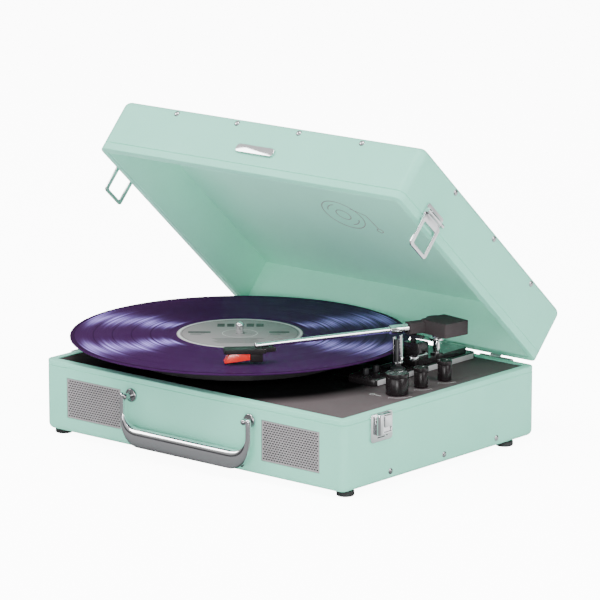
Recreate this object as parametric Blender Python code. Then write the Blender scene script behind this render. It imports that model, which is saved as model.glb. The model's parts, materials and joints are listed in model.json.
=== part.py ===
"""Suitcase record player: a belt-drive turntable in a hinged carrying case, standing open on its feet."""

import math

import bmesh
import bpy
from mathutils import Matrix, Vector

for old in list(bpy.data.objects):
    bpy.data.objects.remove(old, do_unlink=True)

# Driving dimensions, in metres. X runs across the case, Y to its back, Z up from the table.
GAP = 0.0003

CASE_WIDTH = 0.3465
CASE_DEPTH = 0.2638
FOOT_HEIGHT = 0.005
BASE_HEIGHT = 0.0633
LID_HEIGHT = 0.0529
CASE_WALL = 0.012
RIM_WALL = 0.008
CASE_FLOOR = 0.006
REBATE_DEPTH = 0.004
CORNER_RADIUS = 0.008
BOTTOM_RADIUS = 0.0055
LID_TOP_RADIUS = 0.007
LID_WALL = 0.0065
LINING = 0.0015

HINGE_OUT = 0.0038
HINGE_DROP = 0.0024
LID_OPEN = math.radians(42.5)
HINGE_X = 0.1255
HINGE_LENGTH = 0.0355
KNUCKLE_RADIUS = 0.0026
HINGE_PIN_RADIUS = 0.0013

DECK_DROP = 0.0007
DECK_THICKNESS = 0.003

SPINDLE_X = -0.0446
SPINDLE_Y = -0.0158
SPINDLE_RADIUS = 0.0035
RECORD_RADIUS = 0.1508
RECORD_RISE = 0.020
RECORD_THICKNESS = 0.002
LABEL_RADIUS = 0.0565
PLATTER_RADIUS = 0.098
MAT_RADIUS = 0.093
DRIVE_RING_RADIUS = 0.063
PULLEY_RADIUS = 0.005
PULLEY_DISTANCE = 0.082
PULLEY_ANGLE = math.radians(135)
BELT_THICKNESS = 0.0008

ARM_PIVOT_X = 0.1095
ARM_PIVOT_Y = 0.071
ARM_RISE = 0.038
ARM_ANGLE = math.radians(22.7)
ARM_LENGTH = 0.172
HEAD_ANGLE = math.radians(20.4)
TUBE_RADIUS = 0.0025
POD_TOP = 0.0057
REST_REACH = 0.0515
REST_ANGLE = math.radians(20.5)

KNOB_X = 0.145
KNOB_FIRST_Y = -0.027
KNOB_PITCH = 0.0325

GRILLE_X = 0.114
GRILLE_WIDTH = 0.0645
GRILLE_HEIGHT = 0.0357
GRILLE_Z = 0.0368

HANDLE_POST_X = 0.0685
HANDLE_ARM_X = 0.073
HANDLE_OUT = 0.0072
HANDLE_Z = 0.052
HANDLE_DROP = 0.0348

CATCH_Y = -0.0835
CATCH_WIDTH = 0.0286
BUTTON_OUT = 0.0068

# Worked out from the driving dimensions.
HALF_WIDTH = CASE_WIDTH / 2
HALF_DEPTH = CASE_DEPTH / 2
RIM_Z = FOOT_HEIGHT + BASE_HEIGHT
DECK_TOP = RIM_Z - DECK_DROP
DECK_BOTTOM = DECK_TOP - DECK_THICKNESS
HINGE_Y = HALF_DEPTH + HINGE_OUT
HINGE_Z = RIM_Z - HINGE_DROP
RECORD_BOTTOM = RIM_Z + RECORD_RISE
HASP_AXIS_X = HALF_WIDTH + GAP + 0.0012 + GAP + 0.002

# The frame's origin: the middle of the open player's bounding box, on the table.
ROUND_Y = -HINGE_OUT - LID_TOP_RADIUS
ROUND_Z = HINGE_DROP + LID_HEIGHT - LID_TOP_RADIUS
BACK_Y = HINGE_Y + ROUND_Y * math.cos(LID_OPEN) + ROUND_Z * math.sin(LID_OPEN) + LID_TOP_RADIUS
LEFT_X = SPINDLE_X - RECORD_RADIUS
RIGHT_X = HALF_WIDTH + GAP + BUTTON_OUT
FRONT_Y = SPINDLE_Y - RECORD_RADIUS
ORIGIN_X = (LEFT_X + RIGHT_X) / 2
ORIGIN_Y = (FRONT_Y + BACK_Y) / 2

# Finishes: colour, roughness, metallic.
MINT = ((0.46, 0.68, 0.60), 0.6, 0.0)
MINT_LINING = ((0.28, 0.51, 0.42), 0.7, 0.0)
CHARCOAL = ((0.075, 0.075, 0.08), 0.5, 0.0)
BLACK = ((0.02, 0.02, 0.022), 0.35, 0.0)
CHROME = ((0.8, 0.8, 0.82), 0.12, 1.0)
STEEL = ((0.55, 0.56, 0.58), 0.35, 1.0)
RUBBER = ((0.02, 0.02, 0.02), 0.8, 0.0)
VINYL = ((0.03, 0.012, 0.06), 0.25, 0.0)
RED = ((0.7, 0.03, 0.02), 0.35, 0.0)
BRASS = ((0.7, 0.5, 0.2), 0.3, 1.0)
BOARD = ((0.03, 0.16, 0.07), 0.5, 0.0)


def empty(name, location, rotation=(0.0, 0.0, 0.0), parent=None):
    """An axis or a frame that pieces hang from."""
    obj = bpy.data.objects.new(name, None)
    obj.location = location
    obj.rotation_euler = rotation
    obj.parent = parent
    bpy.context.scene.collection.objects.link(obj)
    return obj


CASE_FRAME = empty("case_frame", (-ORIGIN_X, -ORIGIN_Y, 0.0))


def mesh_object(name, bm, location, parent):
    """Turn a bmesh into an object with its faces pointing outwards."""
    bmesh.ops.recalc_face_normals(bm, faces=bm.faces)
    mesh = bpy.data.meshes.new(name)
    bm.to_mesh(mesh)
    bm.free()
    obj = bpy.data.objects.new(name, mesh)
    obj.location = location
    obj.parent = parent or CASE_FRAME
    bpy.context.scene.collection.objects.link(obj)
    return obj


def piece(name, bm, finish, location=(0.0, 0.0, 0.0), parent=None):
    """One sub-part with a material of its own."""
    obj = mesh_object(name, bm, location, parent)
    material = bpy.data.materials.new(name)
    material.use_nodes = True
    shader = material.node_tree.nodes["Principled BSDF"]
    shader.inputs["Base Color"].default_value = (*finish[0], 1.0)
    shader.inputs["Roughness"].default_value = finish[1]
    shader.inputs["Metallic"].default_value = finish[2]
    obj.data.materials.append(material)
    return obj


def combine(obj, operation, bm, location=None, parent=None):
    """Cut a shape out of a piece, or join it on, with an exact Boolean."""
    place = obj.location if location is None else location
    tool = mesh_object(obj.name + "_tool", bm, place, parent or obj.parent)
    tool.hide_render = True
    tool.display_type = "WIRE"
    modifier = obj.modifiers.new(operation.lower(), "BOOLEAN")
    modifier.operation = operation
    modifier.solver = "EXACT"
    modifier.object = tool


def cut(obj, bm, location=None, parent=None):
    combine(obj, "DIFFERENCE", bm, location, parent)


def join(obj, bm, location=None, parent=None):
    combine(obj, "UNION", bm, location, parent)


def smooth(obj, angle=40.0):
    obj.data.shade_smooth()
    obj.data.set_sharp_from_angle(angle=math.radians(angle))


def box(low, high):
    """A block between two corners."""
    bm = bmesh.new()
    bmesh.ops.create_cube(bm, size=1.0)
    size = Vector(high) - Vector(low)
    middle = (Vector(high) + Vector(low)) / 2
    bmesh.ops.scale(bm, vec=size, verts=bm.verts)
    bmesh.ops.translate(bm, vec=middle, verts=bm.verts)
    return bm


def round_edges(bm, radius, segments, chosen):
    """Round the edges that chosen(edge) picks."""
    edges = [edge for edge in bm.edges if chosen(edge)]
    bmesh.ops.bevel(bm, geom=edges, offset=radius, segments=segments, affect="EDGES", profile=0.5,
                    material=-1)
    return bm


def along(edge, axis):
    """True for an edge that runs along the given axis."""
    run = edge.verts[1].co - edge.verts[0].co
    return abs(run[axis]) > 0.999 * run.length


def at_height(edge, height):
    return all(abs(vert.co.z - height) < 1e-6 for vert in edge.verts)


def rounded_box(low, high, radius, axis=2, segments=3):
    """A block whose four edges along one axis are rounded."""
    return round_edges(box(low, high), radius, segments, lambda edge: along(edge, axis))


def turned(profile, steps, axis="Z"):
    """A solid of revolution from a closed outline of (radius, height) points."""
    bm = bmesh.new()
    verts = [bm.verts.new((radius, 0.0, height)) for radius, height in profile]
    edges = [bm.edges.new((verts[i], verts[(i + 1) % len(verts)])) for i in range(len(verts))]
    bmesh.ops.spin(bm, geom=edges, cent=(0, 0, 0), axis=(0, 0, 1), angle=math.tau, steps=steps,
                   use_merge=True)
    bmesh.ops.remove_doubles(bm, verts=bm.verts, dist=1e-6)
    loose = [edge for edge in bm.edges if not edge.link_faces]
    bmesh.ops.delete(bm, geom=loose, context="EDGES")
    if axis == "X":
        bmesh.ops.rotate(bm, matrix=Matrix.Rotation(math.radians(90), 3, "Y"), verts=bm.verts)
    if axis == "Y":
        bmesh.ops.rotate(bm, matrix=Matrix.Rotation(math.radians(90), 3, "X"), verts=bm.verts)
    return bm


def rod(radius, start, end, steps=16, axis="Z"):
    """A plain cylinder along an axis; along Y its heights count towards the front."""
    return turned([(0.0, start), (radius, start), (radius, end), (0.0, end)], steps, axis)


def moved(bm, offset):
    bmesh.ops.translate(bm, vec=offset, verts=bm.verts)
    return bm


def spun(bm, angle, axis="Z"):
    bmesh.ops.rotate(bm, matrix=Matrix.Rotation(angle, 3, axis), verts=bm.verts)
    return bm


def extruded(outline, low, high):
    """A flat outline in X and Y, raised from one height to another."""
    bm = bmesh.new()
    face = bm.faces.new([bm.verts.new((x, y, low)) for x, y in outline])
    top = bmesh.ops.extrude_face_region(bm, geom=[face])["geom"]
    verts = [item for item in top if isinstance(item, bmesh.types.BMVert)]
    bmesh.ops.translate(bm, vec=(0.0, 0.0, high - low), verts=verts)
    return bm


# ---------------------------------------------------------------- case

def build_case():
    """The leatherette-covered box: four walls and a floor, with a rebate that holds the deck."""
    bm = rounded_box((-HALF_WIDTH, -HALF_DEPTH, FOOT_HEIGHT), (HALF_WIDTH, HALF_DEPTH, RIM_Z),
                     CORNER_RADIUS, segments=4)
    round_edges(bm, BOTTOM_RADIUS, 3, lambda edge: at_height(edge, FOOT_HEIGHT))
    shell = piece("case_shell", bm, MINT)
    inner_x = HALF_WIDTH - CASE_WALL
    inner_y = HALF_DEPTH - CASE_WALL
    cut(shell, box((-inner_x, -inner_y, FOOT_HEIGHT + CASE_FLOOR), (inner_x, inner_y, RIM_Z - 0.001)))
    rim_x = HALF_WIDTH - RIM_WALL
    rim_y = HALF_DEPTH - RIM_WALL
    cut(shell, rounded_box((-rim_x, -rim_y, RIM_Z - REBATE_DEPTH), (rim_x, rim_y, RIM_Z + 0.01), 0.002))
    for side in (-1, 1):
        recess = (GRILLE_WIDTH / 2 + GAP, GRILLE_HEIGHT / 2 + GAP)
        window = (GRILLE_WIDTH / 2 - 0.003, GRILLE_HEIGHT / 2 - 0.003)
        place = (side * GRILLE_X, -HALF_DEPTH, GRILLE_Z)
        cut(shell, box((-recess[0], -0.01, -recess[1]), (recess[0], 0.0015, recess[1])), place)
        cut(shell, box((-window[0], -0.01, -window[1]), (window[0], 0.02, window[1])), place)
    cut(shell, box((-0.028, -0.02, -0.007), (0.028, 0.01, 0.007)), (-0.07, HALF_DEPTH, 0.034))


def build_deck():
    """The moulded motor board that drops into the rebate."""
    half_x = HALF_WIDTH - RIM_WALL - GAP
    half_y = HALF_DEPTH - RIM_WALL - GAP
    plate = rounded_box((-half_x, -half_y, DECK_BOTTOM), (half_x, half_y, DECK_TOP), 0.002)
    deck = piece("deck_plate", plate, CHARCOAL)
    cut(deck, rod(0.0083, DECK_BOTTOM - 0.001, DECK_TOP + 0.001, 24), (SPINDLE_X, SPINDLE_Y, 0.0))
    cut(deck, rod(0.008, DECK_BOTTOM - 0.001, DECK_TOP + 0.001, 24), (*pulley_centre(), 0.0))
    for index in range(3):
        place = (KNOB_X, KNOB_FIRST_Y + index * KNOB_PITCH, 0.0)
        cut(deck, rod(0.0034, DECK_BOTTOM - 0.001, DECK_TOP + 0.001), place)


def build_feet():
    """Four turned rubber feet under the corners."""
    profile = [(0.0, 0.0), (0.0068, 0.0), (0.0078, 0.001), (0.0078, FOOT_HEIGHT - GAP),
               (0.0, FOOT_HEIGHT - GAP)]
    for end, y in (("front", -0.118), ("rear", 0.100)):
        for side, x in (("left", -0.1635), ("right", 0.1635)):
            smooth(piece(f"foot_{end}_{side}", turned(profile, 20), RUBBER, (x, y, 0.0)))


def build_sound():
    """Perforated grilles in the front wall, with a cone speaker behind each."""
    half_x = GRILLE_WIDTH / 2
    half_z = GRILLE_HEIGHT / 2
    cone = [(0.0, 0.0), (0.008, 0.0), (0.011, 0.005), (0.0235, 0.0155), (0.0235, 0.018), (0.025, 0.018),
            (0.025, 0.015), (0.013, 0.001), (0.013, -0.008), (0.0, -0.008)]
    for side, sign in (("left", -1), ("right", 1)):
        plate = box((-half_x, 0.0002, -half_z), (half_x, 0.0012, half_z))
        piece("grille_" + side, plate, STEEL, (sign * GRILLE_X, -HALF_DEPTH, GRILLE_Z))
        place = (sign * GRILLE_X, -HALF_DEPTH + CASE_WALL + 0.018 + GAP, GRILLE_Z)
        smooth(piece("speaker_" + side, turned(cone, 24, "Y"), BLACK, place))


def build_electrics():
    """The amplifier board, the bracket with the three controls and the sockets in the back wall."""
    piece("circuit_board", box((0.045, -0.085, 0.026), (0.125, -0.02, 0.0276)), BOARD)
    last_y = KNOB_FIRST_Y + 2 * KNOB_PITCH
    strap_top = DECK_BOTTOM - GAP
    strap = box((KNOB_X - 0.009, KNOB_FIRST_Y - 0.014, strap_top - 0.0015),
                (KNOB_X + 0.009, last_y + 0.014, strap_top))
    bracket = piece("control_bracket", strap, STEEL)
    for index in range(3):
        place = (KNOB_X, KNOB_FIRST_Y + index * KNOB_PITCH, 0.0)
        join(bracket, rod(0.0075, strap_top - 0.014, strap_top - 0.001, 16), place)
        cut(bracket, rod(0.0033, strap_top - 0.012, strap_top + 0.001, 16), place)
    back = HALF_DEPTH + GAP
    plate = rounded_box((-0.034, 0.0, -0.011), (0.034, 0.0015, 0.011), 0.002, axis=1)
    sockets = piece("socket_plate", plate, BLACK, (-0.07, back, 0.034))
    join(sockets, box((-0.027, -0.016, -0.006), (0.027, 0.0005, 0.006)), sockets.location)
    for x in (-0.021, -0.008):
        join(sockets, moved(rod(0.0042, -0.009, 0.0005, 16, "Y"), (x, 0.0, 0.0)))
        cut(sockets, moved(rod(0.0016, -0.0095, 0.002, 12, "Y"), (x, 0.0, 0.0)))
    for x, radius in ((0.006, 0.0018), (0.020, 0.0032)):
        cut(sockets, moved(rod(radius, -0.003, 0.008, 12, "Y"), (x, 0.0, 0.0)))


# ---------------------------------------------------------------- platter and drive

def pulley_centre():
    x = SPINDLE_X + PULLEY_DISTANCE * math.cos(PULLEY_ANGLE)
    y = SPINDLE_Y + PULLEY_DISTANCE * math.sin(PULLEY_ANGLE)
    return x, y


def build_platter():
    """The record on its mat, platter and spindle, all turning in the bearing."""
    centre = (SPINDLE_X, SPINDLE_Y, RIM_Z)
    hole = SPINDLE_RADIUS + GAP
    top = RECORD_RISE - 0.003
    low = 0.0025
    ring = DRIVE_RING_RADIUS
    platter = [(hole, 0.0015), (0.010, 0.0015), (0.010, top - 0.003), (ring - 0.003, top - 0.003),
               (ring - 0.003, low), (ring, low), (ring, top - 0.003), (PLATTER_RADIUS - 0.003, top - 0.003),
               (PLATTER_RADIUS - 0.003, low), (PLATTER_RADIUS, low), (PLATTER_RADIUS, top - 0.001),
               (PLATTER_RADIUS - 0.001, top), (hole, top)]
    smooth(piece("platter", turned(platter, 48), BLACK, centre))
    mat_low = top + GAP
    mat_high = RECORD_RISE - GAP
    mat = [(hole, mat_low), (MAT_RADIUS, mat_low), (MAT_RADIUS, mat_high), (hole, mat_high)]
    smooth(piece("platter_mat", turned(mat, 48), RUBBER, centre))
    edge = 0.0012
    high = RECORD_RISE + RECORD_THICKNESS
    record = [(hole, RECORD_RISE), (RECORD_RADIUS - edge, RECORD_RISE),
              (RECORD_RADIUS, RECORD_RISE + edge / 2), (RECORD_RADIUS, high - edge / 2),
              (RECORD_RADIUS - edge, high), (LABEL_RADIUS, high), (hole, high)]
    smooth(piece("record", turned(record, 72), VINYL, centre))
    tip = RECORD_RISE + 0.0125
    spindle = [(0.0, -0.018), (SPINDLE_RADIUS - 0.001, -0.018), (SPINDLE_RADIUS - 0.001, -0.0005),
               (SPINDLE_RADIUS, -0.0005), (SPINDLE_RADIUS, tip - 0.002), (SPINDLE_RADIUS - 0.0015, tip),
               (0.0, tip)]
    smooth(piece("spindle", turned(spindle, 16), CHROME, centre))
    bore = SPINDLE_RADIUS - 0.001 + GAP
    flange_low = -DECK_DROP + GAP
    bearing = [(bore, -0.020), (0.008, -0.020), (0.008, flange_low), (0.011, flange_low),
               (0.011, flange_low + 0.001), (SPINDLE_RADIUS + GAP, flange_low + 0.001),
               (SPINDLE_RADIUS + GAP, -0.001), (bore, -0.001)]
    smooth(piece("spindle_bearing", turned(bearing, 24), BRASS, centre))


def build_drive():
    """The motor under the deck, its pulley and the flat belt round the platter's inner ring."""
    x, y = pulley_centre()
    can_top = DECK_BOTTOM - GAP - RIM_Z
    can = [(0.0018, can_top), (0.0018, can_top - 0.008), (0.0, can_top - 0.008), (0.0, can_top - 0.028),
           (0.017, can_top - 0.028), (0.017, can_top - 0.001), (0.016, can_top)]
    smooth(piece("motor", turned(can, 24), STEEL, (x, y, RIM_Z)))
    shaft = 0.0012
    pulley = [(0.0, can_top - 0.007), (shaft, can_top - 0.007), (shaft, 0.003), (0.006, 0.003),
              (0.006, 0.004), (PULLEY_RADIUS, 0.0045), (PULLEY_RADIUS, 0.0105), (0.006, 0.011),
              (0.006, 0.012), (0.0, 0.012)]
    smooth(piece("motor_pulley", turned(pulley, 16), BRASS, (x, y, RIM_Z)))
    inner = belt_outline(GAP)
    outer = belt_outline(GAP + BELT_THICKNESS)
    belt = piece("drive_belt", extruded(outer, 0.005, 0.010), RUBBER, (SPINDLE_X, SPINDLE_Y, RIM_Z))
    cut(belt, extruded(inner, 0.004, 0.011))
    smooth(belt)


def belt_outline(offset):
    """The loop of the belt round the drive ring and the pulley, a given distance off them."""
    large = DRIVE_RING_RADIUS + offset
    small = PULLEY_RADIUS + offset
    spread = math.acos((large - small) / PULLEY_DISTANCE)
    points = []
    for radius, distance, start, end, count in (
            (large, 0.0, spread, math.tau - spread, 40),
            (small, PULLEY_DISTANCE, -spread, spread, 10)):
        for step in range(count + 1):
            angle = start + (end - start) * step / count
            x = distance + radius * math.cos(angle)
            y = radius * math.sin(angle)
            points.append((x * math.cos(PULLEY_ANGLE) - y * math.sin(PULLEY_ANGLE),
                           x * math.sin(PULLEY_ANGLE) + y * math.cos(PULLEY_ANGLE)))
    return points


# ---------------------------------------------------------------- lid

LID_AXIS = empty("lid_axis", (0.0, HINGE_Y, HINGE_Z), (-LID_OPEN, 0.0, 0.0), CASE_FRAME)
LID_BACK = -HINGE_OUT
LID_FRONT = LID_BACK - CASE_DEPTH
LID_RIM = HINGE_DROP
LID_TOP = LID_RIM + LID_HEIGHT


def build_lid():
    """The lid and its lining, drawn closed and turned open by the hinge axis they hang from."""
    bm = rounded_box((-HALF_WIDTH, LID_FRONT, LID_RIM), (HALF_WIDTH, LID_BACK, LID_TOP), CORNER_RADIUS,
                     segments=4)
    round_edges(bm, LID_TOP_RADIUS, 3, lambda edge: at_height(edge, LID_TOP))
    lid = piece("lid_shell", bm, MINT, parent=LID_AXIS)
    inner_x = HALF_WIDTH - LID_WALL
    ceiling = LID_TOP - LID_WALL
    cut(lid, rounded_box((-inner_x, LID_FRONT + LID_WALL, LID_RIM - 0.01),
                         (inner_x, LID_BACK - LID_WALL, ceiling), 0.002))
    outer_x = inner_x - GAP
    front = LID_FRONT + LID_WALL + GAP
    back = LID_BACK - LID_WALL - GAP
    lining = piece("lid_lining", rounded_box((-outer_x, front, LID_RIM + 0.0005),
                                             (outer_x, back, ceiling - GAP), 0.002), MINT_LINING,
                   parent=LID_AXIS)
    cut(lining, box((-outer_x + LINING, front + LINING, LID_RIM - 0.01),
                    (outer_x - LINING, back - LINING, ceiling - GAP - LINING)))
    plate = rounded_box((-0.0215, LID_FRONT - GAP - 0.0016, LID_RIM + 0.018),
                        (0.0215, LID_FRONT - GAP, LID_RIM + 0.0262), 0.0035, axis=1)
    piece("name_plate", plate, CHROME, parent=LID_AXIS)


def build_hinges():
    """Two leaf hinges at the back: outer knuckles on the case, the middle knuckle on the lid."""
    half = HINGE_LENGTH / 2
    middle = 0.0058
    knuckle = HINGE_PIN_RADIUS + GAP
    reach = HINGE_OUT - GAP
    for side, sign in (("left", -1), ("right", 1)):
        place = (sign * HINGE_X, HINGE_Y, HINGE_Z)
        leaf = box((-half, -reach, -0.018), (half, -reach + 0.0012, 0.0))
        base = piece("hinge_case_" + side, leaf, STEEL, place)
        join(base, rod(KNUCKLE_RADIUS, -half, half, 16, "X"))
        cut(base, box((-middle - GAP, -reach - 0.001, -0.0032), (middle + GAP, 0.01, 0.01)))
        cut(base, rod(knuckle, -half - 0.001, half + 0.001, 12, "X"))
        smooth(base)
        local = (sign * HINGE_X, 0.0, 0.0)
        leaf = box((-half, -reach, 0.0034), (half, -reach + 0.0012, 0.018))
        top = piece("hinge_lid_" + side, leaf, STEEL, local, LID_AXIS)
        join(top, box((-middle, -reach, 0.0), (middle, -reach + 0.0012, 0.004)))
        join(top, rod(KNUCKLE_RADIUS, -middle, middle, 16, "X"))
        cut(top, rod(knuckle, -half, half, 12, "X"))
        smooth(top)
        smooth(piece("hinge_pin_" + side, rod(HINGE_PIN_RADIUS, -half, half, 12, "X"), STEEL, place))


def build_hasps():
    """The latches at both sides: a hinged loop on the lid and a catch with a button on the case."""
    axis_out = HASP_AXIS_X - HALF_WIDTH
    barrel = 0.002
    loop_half = 0.0135
    middle = 0.0092
    axis_height = LID_RIM + 0.012
    for side, sign in (("left", -1), ("right", 1)):
        turn = 0.0 if sign > 0 else math.pi
        axis = empty("hasp_axis_" + side, (sign * HASP_AXIS_X, CATCH_Y - HINGE_Y, axis_height),
                     (0.0, 0.0, turn), LID_AXIS)
        inside = -axis_out + GAP
        plate = rounded_box((inside, -loop_half, -0.009), (inside + 0.0012, loop_half, 0.007), 0.002, axis=0)
        hasp = piece("hasp_plate_" + side, plate, CHROME, parent=axis)
        for end in (-1, 1):
            inner = end * (middle + GAP)
            outer = end * loop_half
            ends = (min(inner, outer), max(inner, outer))
            join(hasp, box((inside + 0.0005, ends[0], -barrel), (0.0, ends[1], barrel)))
            join(hasp, rod(barrel, -ends[1], -ends[0], 12, "Y"))
        join(hasp, rod(0.0009, -loop_half, loop_half, 8, "Y"))
        smooth(hasp)
        frame = rounded_box((-barrel, -loop_half, -0.0345), (-barrel + 0.0015, loop_half, -0.003), 0.003,
                            axis=0)
        loop = piece("hasp_loop_" + side, frame, CHROME, parent=axis)
        join(loop, box((-barrel, -middle, -0.004), (-barrel + 0.0015, middle, 0.0)))
        join(loop, rod(barrel, -middle, middle, 16, "Y"))
        cut(loop, rod(0.0012, -middle - 0.001, middle + 0.001, 8, "Y"))
        cut(loop, rounded_box((-0.01, -0.0095, -0.0313), (0.01, 0.0095, -0.009), 0.0015, axis=0))
        smooth(loop)
        build_catch(side, sign, turn)


def build_catch(side, sign, turn):
    """The catch plate with its raised hook, and the spring button that slides down to release it."""
    half = CATCH_WIDTH / 2
    frame = empty("catch_frame_" + side, (sign * (HALF_WIDTH + GAP), CATCH_Y, RIM_Z - 0.0008),
                  (0.0, 0.0, turn), CASE_FRAME)
    plate = rounded_box((0.0, -half, -0.025), (0.0012, half, 0.0), 0.003, axis=0)
    catch = piece("catch_plate_" + side, plate, CHROME, parent=frame)
    hook = rounded_box((0.0005, -0.009, -0.0185), (0.0062, 0.009, -0.0005), 0.0025, axis=2)
    join(catch, hook)
    cut(catch, box((0.0048, -0.0028, -0.0165), (0.01, 0.0072, -0.0015)))
    smooth(catch)
    button = rounded_box((0.0048 + GAP, -0.0025, -0.0122), (BUTTON_OUT, 0.0069, -0.0018), 0.0008, axis=0)
    piece("catch_button_" + side, button, CHROME, parent=frame)


# ---------------------------------------------------------------- handle

def bail_stations():
    """Centre line and half sizes of the handle: thin arms that swell into a thick grip."""
    arm = 0.0023
    bend = 0.021
    stations = [(HANDLE_ARM_X, 0.003, arm, arm), (HANDLE_ARM_X, -0.004, arm, arm)]
    bend_top = -HANDLE_DROP + bend
    for step in range(9):
        angle = math.radians(90) * step / 8
        swell = step / 8
        x = HANDLE_ARM_X - bend + bend * math.cos(angle)
        z = bend_top - bend * math.sin(angle)
        stations.append((x, z, arm + (0.0060 - arm) * swell ** 2, arm + (0.0083 - arm) * swell ** 1.5))
    stations.append((0.040, -HANDLE_DROP, 0.0062, 0.0087))
    stations.append((0.015, -HANDLE_DROP, 0.0062, 0.0088))
    return stations


def build_handle():
    """The carrying handle: a chromed bail that hangs on two posts screwed to the front."""
    axis = empty("handle_axis", (0.0, -HALF_DEPTH - HANDLE_OUT, HANDLE_Z), parent=CASE_FRAME)
    half = bail_stations()
    path = half + [(-x, z, depth, height) for x, z, depth, height in reversed(half)]
    sides = 14
    bm = bmesh.new()
    rings = []
    for index, (x, z, depth, height) in enumerate(path):
        before = path[max(index - 1, 0)]
        after = path[min(index + 1, len(path) - 1)]
        run = Vector((after[0] - before[0], 0.0, after[1] - before[1])).normalized()
        across = Vector((-run.z, 0.0, run.x))
        ring = []
        for step in range(sides):
            angle = math.tau * (step + 0.5) / sides
            u = math.copysign(abs(math.cos(angle)) ** 0.75, math.cos(angle))
            v = math.copysign(abs(math.sin(angle)) ** 0.75, math.sin(angle))
            offset = across * (u * height) + Vector((0.0, v * depth, 0.0))
            ring.append(bm.verts.new(Vector((x, 0.0, z)) + offset))
        rings.append(ring)
    for first, second in zip(rings, rings[1:]):
        for step in range(sides):
            after = (step + 1) % sides
            bm.faces.new((first[step], first[after], second[after], second[step]))
    bm.faces.new(rings[0])
    bm.faces.new(list(reversed(rings[-1])))
    bail = piece("handle_bail", bm, CHROME, parent=axis)
    pin = 0.0016
    for side, sign in (("left", -1), ("right", 1)):
        ends = sorted((sign * (HANDLE_ARM_X + 0.0005), sign * (HANDLE_POST_X - 0.0018)))
        join(bail, rod(pin, ends[0], ends[1], 12, "X"))
        depth = HANDLE_OUT - GAP
        place = (sign * HANDLE_POST_X, -HALF_DEPTH - HANDLE_OUT, HANDLE_Z)
        block = rounded_box((-0.0021, -0.0036, -0.0042), (0.0021, depth - 0.0005, 0.0042), 0.0018, axis=0)
        post = piece("handle_post_" + side, block, CHROME, place)
        join(post, moved(rod(0.0062, 0.0, 0.0014, 20, "Y"), (0.0, depth, 0.0)))
        cut(post, rod(pin + GAP, -0.01, 0.01, 12, "X"))
        smooth(post)
    smooth(bail)


# ---------------------------------------------------------------- tonearm and controls

ARM_Z = RIM_Z + ARM_RISE
ARM_AXIS = empty("arm_axis", (ARM_PIVOT_X, ARM_PIVOT_Y, ARM_Z), (0.0, 0.0, -ARM_ANGLE), CASE_FRAME)
HEAD_FRAME = empty("head_frame", (0.0, -ARM_LENGTH, 0.0), (0.0, 0.0, -HEAD_ANGLE), ARM_AXIS)


def build_arm_base():
    """The long moulded base on the deck, the block with the cue mechanism and the pivot post."""
    low = -DECK_DROP + GAP
    pod = rounded_box((0.083, -0.021, low), (0.115, 0.1205, POD_TOP), 0.004)
    pod = piece("arm_base", round_edges(pod, 0.0012, 2, lambda edge: at_height(edge, POD_TOP)), BLACK,
                (0.0, 0.0, RIM_Z))
    for y in (0.004, -0.010):
        cut(pod, box((0.0945, y - 0.0012, POD_TOP - 0.004), (0.1035, y + 0.0012, POD_TOP + 0.001)))
    foot = POD_TOP + GAP
    turret = piece("arm_turret", rounded_box((0.086, 0.040, foot), (0.1125, 0.111, 0.011), 0.003), BLACK,
                   (0.0, 0.0, RIM_Z))
    pivot = (ARM_PIVOT_X, ARM_PIVOT_Y, RIM_Z)
    join(turret, rod(0.0055, foot, 0.013, 24), pivot)
    join(turret, rounded_box((0.0965, 0.041, 0.0065), (0.1135, 0.0555, 0.026), 0.0015))
    cut(turret, rod(0.0036, 0.009, 0.014, 16), pivot)
    cut(turret, rod(0.0027, 0.014, 0.027, 12), (*cue_centre(), RIM_Z))
    cut(turret, box((0.1115, 0.046, 0.0135), (0.12, 0.0505, 0.0185)))
    post = [(0.0, 0.0093), (0.0033, 0.0093), (0.0033, 0.024), (0.0015, 0.024), (0.0015, 0.030), (0.0, 0.030)]
    smooth(piece("pivot_post", turned(post, 16), CHROME, pivot))


def cue_centre():
    """The middle of the cue platform's arc, in front of the pivot."""
    reach = 0.024
    angle = ARM_ANGLE - math.radians(3)
    return ARM_PIVOT_X - reach * math.sin(angle), ARM_PIVOT_Y - reach * math.cos(angle)


def build_cue():
    """The cue lever and the curved platform that it raises under the arm."""
    x, y = cue_centre()
    middle = math.radians(270) - ARM_ANGLE + math.radians(3)
    outline = []
    for radius, sign in ((0.0265, 1), (0.0215, -1)):
        for step in range(9):
            angle = middle + sign * math.radians(28) * (step / 4 - 1)
            outline.append((ARM_PIVOT_X - x + radius * math.cos(angle),
                            ARM_PIVOT_Y - y + radius * math.sin(angle)))
    lift = piece("cue_platform", extruded(outline, 0.0296, 0.0321), BLACK, (x, y, RIM_Z))
    join(lift, rod(0.0024, 0.0155, 0.031, 12))
    axis = (0.1135, 0.04825, RIM_Z + 0.016)
    lever = piece("cue_lever", box((0.0008, -0.0165, -0.0011), (0.003, 0.0015, 0.0011)), CHROME, axis)
    join(lever, rod(0.0018, -0.0016, 0.0026, 12, "X"))
    join(lever, rounded_box((0.0003, -0.0215, -0.0016), (0.0068, -0.0145, 0.0016), 0.0015))


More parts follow.
